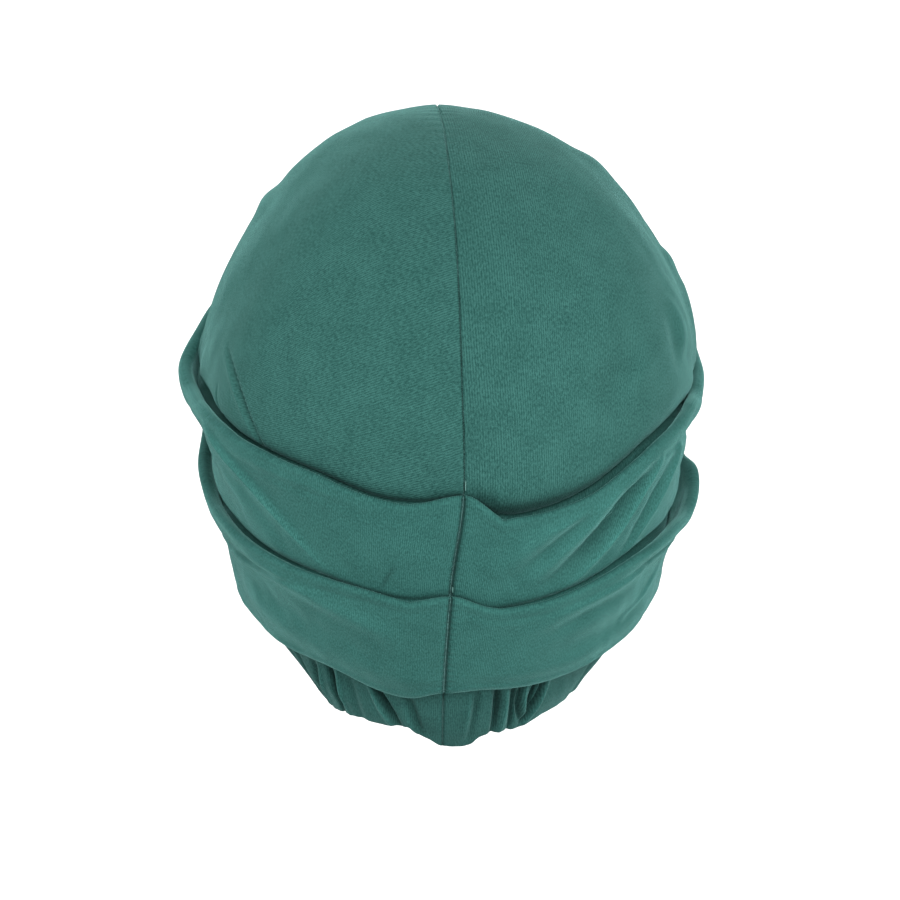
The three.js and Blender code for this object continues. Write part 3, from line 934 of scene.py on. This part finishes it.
def make_tack(name, top_azimuth, top, top_off, low_azimuth, low, low_off):
    """Tube round a straight path from its top to its bottom: its radius is THREAD * (1 - (2t - 1)²)^0.5."""
    t = np.linspace(0, 1, TACK_RINGS + 2)[1:-1]
    azimuth, height = top_azimuth + (low_azimuth - top_azimuth) * t, top + (low - top) * t
    path = place("right", azimuth, form(azimuth, height) + top_off + (low_off - top_off) * t, height)
    turn = np.linspace(0, 2 * np.pi, TACK_SIDES + 1)[:-1]
    ring = np.stack([np.cos(turn), np.sin(turn), 0 * turn], axis=-1) * THREAD * MM
    tube = path[:, None] + np.sqrt(1 - (2 * t - 1) ** 2)[:, None, None] * ring
    number = np.arange(TACK_RINGS * TACK_SIDES).reshape(TACK_RINGS, TACK_SIDES)
    after = np.roll(number, -1, axis=1)
    faces = np.stack([number[1:], after[1:], after[:-1], number[:-1]], axis=-1).reshape(-1, 4).tolist()
    faces += [number[0].tolist(), number[-1, ::-1].tolist()]
    mesh = bpy.data.meshes.new(name)
    mesh.from_pydata(tube.reshape(-1, 3), [], faces)
    mesh.polygons.foreach_set("use_smooth", np.ones(len(faces), bool))
    tack = bpy.data.objects.new(name, mesh)
    bpy.context.collection.objects.link(tack)
    print(name, len(faces), "faces,", round(top - low, 1), "mm long")
    return tack


tacks = [make_tack(name, *values) for name, values in TACKS.items()]

# %% [markdown]
# ## Colours and nodes
#
# Colours are read off as sRGB hex codes, but a shader works in linear light, so one function turns each code
# into linear values. Materials are built from nodes, and one small helper adds a node, sets it and links it.

# %% Colours and the node helper
def hex_colour(code):
    """sRGB hex such as 3f726b to linear red, green, blue and alpha."""
    values = [int(code[i:i + 2], 16) / 255 for i in (0, 2, 4)]
    return [v / 12.92 if v <= 0.04045 else ((v + 0.055) / 1.055) ** 2.4 for v in values] + [1]


def add(tree, kind, inputs=None, **settings):
    """Add one node: settings are its properties, and inputs give each input a value or a socket to link."""
    node = tree.nodes.new(kind)
    for key, value in settings.items():
        setattr(node, key, value)
    for key, value in (inputs or {}).items():
        if isinstance(value, bpy.types.NodeSocket):
            tree.links.new(value, node.inputs[key])
        else:
            node.inputs[key].default_value = value
    return node


print("petrol green, linear:", [round(v, 3) for v in hex_colour("3f726b")[:3]])

# %% [markdown]
# ## Brushed cotton jersey
#
# Jersey is a plain knit: columns of small V-shaped loops, called wales. Brushed, it is matt, with a short nap
# that catches light at grazing angles. An image could carry the loops, but a formula on the knit's UV map
# stays sharp at any size: a rounded rib for each wale, with slanting loops across it. The sheen gives the eye
# the pale rim that tells brushed cloth from smooth.

# %% Brushed cotton jersey
# Slant of the loops in courses, and the loop's share of the rib's height.
LOOP_SLANT, LOOP_SHARE = 1.2, 0.2
# Lumps of yarn in a wale's width, how long drawn they are along it, and size of the slow mottle in mm.
YARN, YARN_DRAWN, MOTTLE = 1.3, 0.4, 9
# Weight of the yarn in the height, and the height in mm.
YARN_RISE, BUMP_HEIGHT, BUMP_STRENGTH = 1.2, 0.25, 0.35
# How clearly the ribs show, from the mottle, and the weights of ribs, mottle and yarn in the colour.
CLEAR, UNCLEAR = 2.4, -0.6
RIBS, MOTTLED, SPECKS, SHIFT = 0.95, 0.8, 3.2, -1.5
# Colour and width of the sheen.
NAP_TINT, NAP_WIDTH = "b0fff8", 0.26


def knit_heights(tree, knit):
    """Two heights across a wale, with s from its middle: the rib less its mean, 1/3 - 4s², for the colour,
    and the rib itself, 1 - 4s², times the wave of the loops, for the surface."""
    math = "ShaderNodeMath"
    split = add(tree, "ShaderNodeSeparateXYZ", {0: knit}).outputs
    wale = add(tree, math, {0: split["X"]}, operation="FRACT").outputs[0]
    offset = add(tree, math, {0: wale, 1: 0.5}, operation="SUBTRACT").outputs[0]
    side = add(tree, math, {0: offset}, operation="ABSOLUTE").outputs[0]
    square = add(tree, math, {0: side, 1: side}, operation="MULTIPLY").outputs[0]
    rib = add(tree, math, {0: square, 1: -4, 2: 1}, operation="MULTIPLY_ADD").outputs[0]
    ridge = add(tree, math, {0: square, 1: -4, 2: 1 / 3}, operation="MULTIPLY_ADD").outputs[0]
    course = add(tree, math, {0: side, 1: LOOP_SLANT, 2: split["Y"]}, operation="MULTIPLY_ADD").outputs[0]
    swing = add(tree, math, {0: course, 1: 2 * np.pi}, operation="MULTIPLY").outputs[0]
    wave = add(tree, math, {0: swing}, operation="SINE").outputs[0]
    loop = add(tree, math, {0: wave, 1: LOOP_SHARE, 2: 1 - LOOP_SHARE}, operation="MULTIPLY_ADD").outputs[0]
    stitch = add(tree, math, {0: rib, 1: loop}, operation="MULTIPLY").outputs[0]
    return ridge, stitch


def brushed_jersey(name, deep, pale, nap, painted_light_strength):
    """Brushed cotton jersey: rib and loop heights from the knit's UV map raise the surface and lighten the
    colour, and uneven yarn and a slow mottle break both up. A mesh attribute paints a highlight into the
    colour along a crest, and painted shade into a crease and along the seam. nap is the weight of the sheen,
    and the last argument how far that painted highlight lightens and that painted shade darkens."""
    material = bpy.data.materials.new(name)
    material.use_nodes = True
    tree = material.node_tree
    shader = tree.nodes["Principled BSDF"]
    math = "ShaderNodeMath"
    knit = add(tree, "ShaderNodeUVMap", uv_map="knit").outputs["UV"]
    ridge, stitch = knit_heights(tree, knit)
    drawn = add(tree, "ShaderNodeVectorMath", {0: knit, 1: (1, YARN_DRAWN, 1)}, operation="MULTIPLY")
    yarn = add(tree, "ShaderNodeTexNoise", {"Vector": drawn.outputs[0], "Scale": YARN, "Detail": 3,
                                            "Roughness": 0.65}).outputs["Fac"]
    spot = add(tree, "ShaderNodeTexCoord").outputs["Object"]
    mottle = add(tree, "ShaderNodeTexNoise", {"Vector": spot, "Scale": 1 / (MOTTLE * MM), "Detail": 4,
                                              "Roughness": 0.6}).outputs["Fac"]
    # The surface: stitches with lumps of yarn.
    raised = add(tree, math, {0: yarn, 1: YARN_RISE, 2: stitch}, operation="MULTIPLY_ADD").outputs[0]
    bump = add(tree, "ShaderNodeBump", {"Height": raised, "Strength": BUMP_STRENGTH,
                                        "Distance": BUMP_HEIGHT * MM})
    # The colour: ribs that show clearly in places, the mottle, and specks of yarn, from deep to pale.
    clear = add(tree, math, {0: mottle, 1: CLEAR, 2: UNCLEAR}, operation="MULTIPLY_ADD").outputs[0]
    lines = add(tree, math, {0: ridge, 1: clear}, operation="MULTIPLY").outputs[0]
    ribbed = add(tree, math, {0: lines, 1: RIBS, 2: SHIFT}, operation="MULTIPLY_ADD").outputs[0]
    mixed = add(tree, math, {0: mottle, 1: MOTTLED, 2: ribbed}, operation="MULTIPLY_ADD").outputs[0]
    speck = add(tree, math, {0: yarn, 1: SPECKS, 2: mixed}, operation="MULTIPLY_ADD").outputs[0]
    colour = add(tree, "ShaderNodeMix", {"Factor": speck, "A": hex_colour(deep), "B": hex_colour(pale)},
                 data_type="RGBA").outputs["Result"]
    # Painted highlight along crests and painted shade in creases and at the seam, read from the mesh.
    painted_light_and_shade = add(tree, "ShaderNodeAttribute", attribute_name="painted_light_and_shade").outputs["Fac"]
    value = add(tree, math, {0: painted_light_and_shade, 1: painted_light_strength, 2: 1}, operation="MULTIPLY_ADD").outputs[0]
    painted_colour = add(tree, "ShaderNodeHueSaturation", {"Value": value, "Color": colour})
    tree.links.new(painted_colour.outputs["Color"], shader.inputs["Base Color"])
    tree.links.new(bump.outputs["Normal"], shader.inputs["Normal"])
    shader.inputs["Roughness"].default_value = 0.9
    shader.inputs["Specular IOR Level"].default_value = 0.06
    shader.inputs["Sheen Weight"].default_value = nap
    shader.inputs["Sheen Roughness"].default_value = NAP_WIDTH
    shader.inputs["Sheen Tint"].default_value = hex_colour(NAP_TINT)
    return material


# The crown is stretched, so it is smooth and shows little nap. The folds are loose, with more of it. The nape
# is drawn up and lies in shade: its deeper colour is painted shade on the same cloth, and its pleats get a
# stronger painted highlight and painted shade.
jersey = {
    "crown": brushed_jersey("brushed_cotton_jersey_crown", "183935", "2a504b", 0.15, 0.28),
    "upper": brushed_jersey("brushed_cotton_jersey_folds", "193c38", "2a534e", 0.19, 0.28),
    "nape": brushed_jersey("brushed_cotton_jersey_nape", "153330", "244743", 0.1, 0.42),
}
jersey["lower"] = jersey["upper"]
print("jersey:", [material.name for material in jersey.values()])

# %% [markdown]
# ## Plain materials
#
# Thread and floor paint have one colour each and no pattern: the thread is too thin to show one, and the
# floor should not draw the eye.

# %% Plain materials
def plain(name, code, roughness):
    """Material of one colour and roughness."""
    material = bpy.data.materials.new(name)
    material.use_nodes = True
    shader = material.node_tree.nodes["Principled BSDF"]
    shader.inputs["Base Color"].default_value = hex_colour(code)
    shader.inputs["Roughness"].default_value = roughness
    return material


# Sewing thread is smoother and paler than the jersey, so the tacks stand out as two light specks.
thread = plain("polyester_sewing_thread", "3a625c", 0.6)
# Matt paint gives an even, pale ground with no reflections.
paint = plain("matt_pale_paint", "cccccc", 0.9)
print("plain materials:", thread.name, paint.name)

# %% [markdown]
# ## Joining the frame
#
# Each cloth piece rides on the turban's one body, stands for its CAD wall, which is hidden, and takes the
# jersey material of its kind.

for node, piece in cloth.items():
    kind = node.split("_")[0]
    piece.data.materials.append(jersey[kind])
    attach(piece, "root")
    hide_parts(node)
for tack in tacks:
    tack.data.materials.append(thread)
    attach(tack, "root")
print(len(cloth), "cloth pieces and", len(tacks), "tacks ride on the turban")

# %% [markdown]
# ## Floor and light
#
# The turban is shown filled out, as when it is worn, well above a plain pale floor, in the even light of a
# white studio: a soft light at each side that the nap catches, one over the camera, and one that keeps the
# backdrop white.

# %% Floor and light
FLOOR_DROP = 0.6
FLOOR_SIZE = 12
WORLD_STRENGTH = 0.32
MIDDLE = (0, 0, -0.1)

floor_mesh = bpy.data.meshes.new("floor")
corner = FLOOR_SIZE / 2
floor_z = cad_box[0][2] - FLOOR_DROP
floor_mesh.from_pydata([(-corner, -corner, floor_z), (corner, -corner, floor_z), (corner, corner, floor_z),
                        (-corner, corner, floor_z)], [], [(0, 1, 2, 3)])
floor = bpy.data.objects.new("floor", floor_mesh)
bpy.context.collection.objects.link(floor)
floor_mesh.materials.append(paint)

world = bpy.data.worlds.new("white_studio")
world.use_nodes = True
world.node_tree.nodes["Background"].inputs["Color"].default_value = (1, 1, 1, 1)
world.node_tree.nodes["Background"].inputs["Strength"].default_value = WORLD_STRENGTH
bpy.context.scene.world = world

LIGHTS = [
    # name, place in metres, what it faces, size in metres, watts
    ("left_softbox", (1.9, 0, 0.1), MIDDLE, 1, 36),
    ("right_softbox", (-1.9, 0.4, -0.1), MIDDLE, 1, 34),
    ("front_softbox", (-0.2, 2.2, 1.25), MIDDLE, 1.4, 139),
    ("backdrop_light", (0, -2.9, 1.8), (0, -2.9, 0), 3.6, 215),
]
for name, spot, aim, size, watts in LIGHTS:
    light = bpy.data.lights.new(name, "AREA")
    light.size = size
    light.energy = watts
    lamp = bpy.data.objects.new(name, light)
    lamp.location = spot
    lamp.rotation_euler = (Vector(aim) - Vector(spot)).to_track_quat("-Z", "Y").to_euler()
    bpy.context.collection.objects.link(lamp)
print(len(LIGHTS), "lights over a floor of", FLOOR_SIZE, "metres")

# %% [markdown]
# ## Camera
#
# The camera stands behind the turban and looks down a little, through a long lens with little perspective.

# %% Camera
LENS = 144
SENSOR = 36
VIEW_ELEVATION = np.radians(18)
VIEW_DISTANCE = 1.2
TARGET = Vector((-0.00067, 0, -0.1135))

lens = bpy.data.cameras.new("camera")
lens.lens = LENS
lens.sensor_width = SENSOR
camera = bpy.data.objects.new("camera", lens)
camera.location = TARGET + VIEW_DISTANCE * Vector((0, np.cos(VIEW_ELEVATION), np.sin(VIEW_ELEVATION)))
camera.rotation_euler = (TARGET - camera.location).to_track_quat("-Z", "Y").to_euler()
bpy.context.collection.objects.link(camera)
bpy.context.scene.camera = camera
bpy.context.scene.view_settings.view_transform = "Standard"
print("camera at, metres:", [round(v, 3) for v in camera.location])
